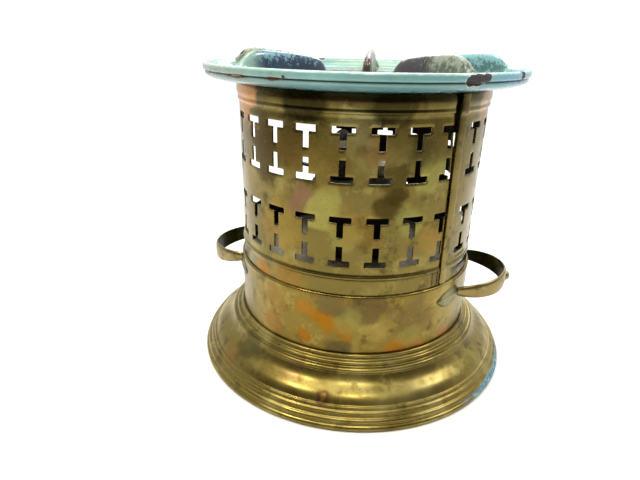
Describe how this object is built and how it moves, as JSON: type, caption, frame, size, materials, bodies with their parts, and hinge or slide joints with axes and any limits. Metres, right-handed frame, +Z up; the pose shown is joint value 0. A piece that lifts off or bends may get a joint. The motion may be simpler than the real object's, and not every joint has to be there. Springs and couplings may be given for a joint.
{
  "type": "alcohol spirit stove",
  "caption": "Round brass spirit stove: flared foot and drum with finger loops, pierced lift-out gallery, enamelled lugged pot ring and a loose spirit lamp inside.",
  "frame": {"origin": "centre of the circle on which the foot stands, on the table", "axes": "+Z up through the middle of the gallery and the pot ring; -Y towards the front; the finger loops lie near +X and -X"},
  "size_m": [0.195, 0.195, 0.1814],
  "materials": {
    "foot_brass": "spun, aged, olive-brown lacquer",
    "drum_brass": "spun, aged, copper-toned patches",
    "floor_tin": "tinned iron, dulled grey-brown",
    "handle_brass": "cast strap, worn",
    "plate_brass": "soldered leaf plate, worn",
    "button_brass": "turned, rubbed bright",
    "gallery_brass": "pierced sheet, aged lacquer with stains",
    "seam_brass": "folded sheet, dull",
    "ring_enamel": "turquoise vitreous enamel on cast iron, chipped",
    "lamp_tin": "sooted tinplate",
    "burner_iron": "sooted iron",
    "wick_cotton": "charred cotton",
    "grip_wire": "dull iron wire",
    "neck_tin": "tinned neck",
    "cap_tin": "tinned screw cap, spotted",
    "washer_leather": "oiled leather washer",
    "knob_wood": "turned hardwood, darkened"
  },
  "bodies": {
    "base": {"foot": "foot_brass", "drum": "drum_brass", "floor_plate": "floor_tin", "right_handle": "handle_brass", "right_front_plate": "plate_brass", "right_rear_plate": "plate_brass", "right_button": "button_brass", "left_handle": "handle_brass", "left_front_plate": "plate_brass", "left_rear_plate": "plate_brass", "left_button": "button_brass"},
    "gallery": {"gallery": "gallery_brass", "seam_strip": "seam_brass", "seam_lap": "seam_brass"},
    "ring": {"pot_ring": "ring_enamel"},
    "lamp": {"lamp_bowl": "lamp_tin", "lamp_lid": "lamp_tin", "wick_tube": "burner_iron", "wick": "wick_cotton", "lamp_grip": "grip_wire", "grip_rivets": "button_brass", "filler_neck": "neck_tin"},
    "cap": {"filler_cap": "cap_tin", "cap_washer": "washer_leather"},
    "regulator": {"regulator_sleeve": "burner_iron", "regulator_arm": "burner_iron", "regulator_knob": "knob_wood"}
  },
  "joints": [
    {"name": "gallery_lift", "type": "slide", "parent": "base", "child": "gallery", "axis": [0, 0, 1], "range_m": [0, 0.06]},
    {"name": "ring_lift", "type": "slide", "parent": "gallery", "child": "ring", "axis": [0, 0, 1], "range_m": [0, 0.04]},
    {"name": "lamp_lift", "type": "slide", "parent": "base", "child": "lamp", "axis": [0, 0, 1], "range_m": [0, 0.012]},
    {"name": "cap_lift", "type": "slide", "parent": "lamp", "child": "cap", "axis": [0, 0, 1], "range_m": [0, 0.012]},
    {"name": "regulator_slide", "type": "slide", "parent": "lamp", "child": "regulator", "axis": [0, 0, 1], "range_m": [0, 0.012]}
  ]
}
